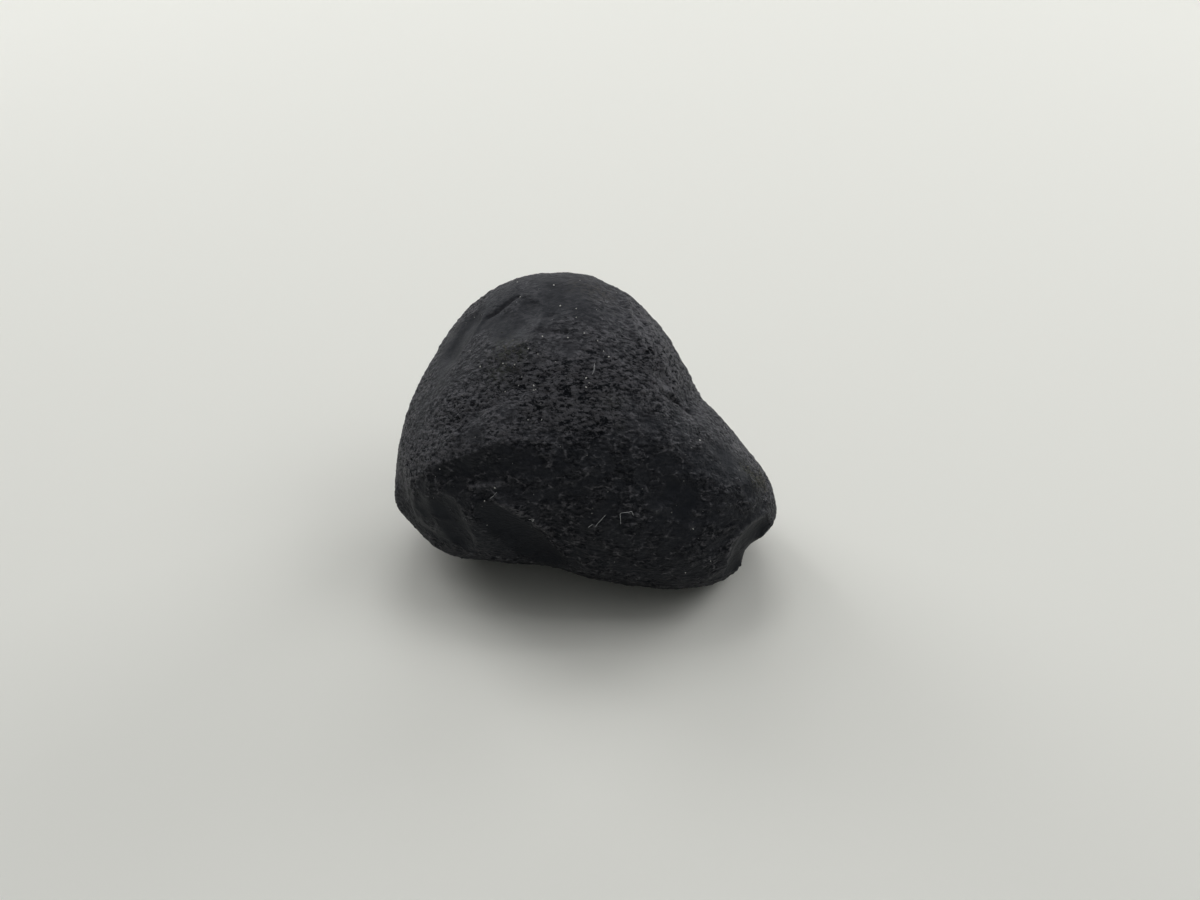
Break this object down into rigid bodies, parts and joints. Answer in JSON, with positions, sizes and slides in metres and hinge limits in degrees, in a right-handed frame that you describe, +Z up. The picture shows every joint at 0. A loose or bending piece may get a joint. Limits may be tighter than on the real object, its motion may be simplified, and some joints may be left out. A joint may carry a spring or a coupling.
{
  "type": "saffordite stone",
  "caption": "Rounded nodule of black natural glass with a finely pitted skin, worn hollows and a flake scar, resting on one flat patch.",
  "frame": {"origin": "on the ground, at the centre of the bounding box's bottom face", "axes": "+X along the stone's longest extent, towards its low toe; -Y is its front; +Z up, its shortest extent"},
  "size_m": [0.04, 0.0324, 0.0303],
  "materials": {
    "black_glass": "matte, naturally etched and finely pitted, with a soft sheen on the worn parts"
  },
  "bodies": {
    "root": {"stone": "black_glass"}
  },
  "joints": []
}
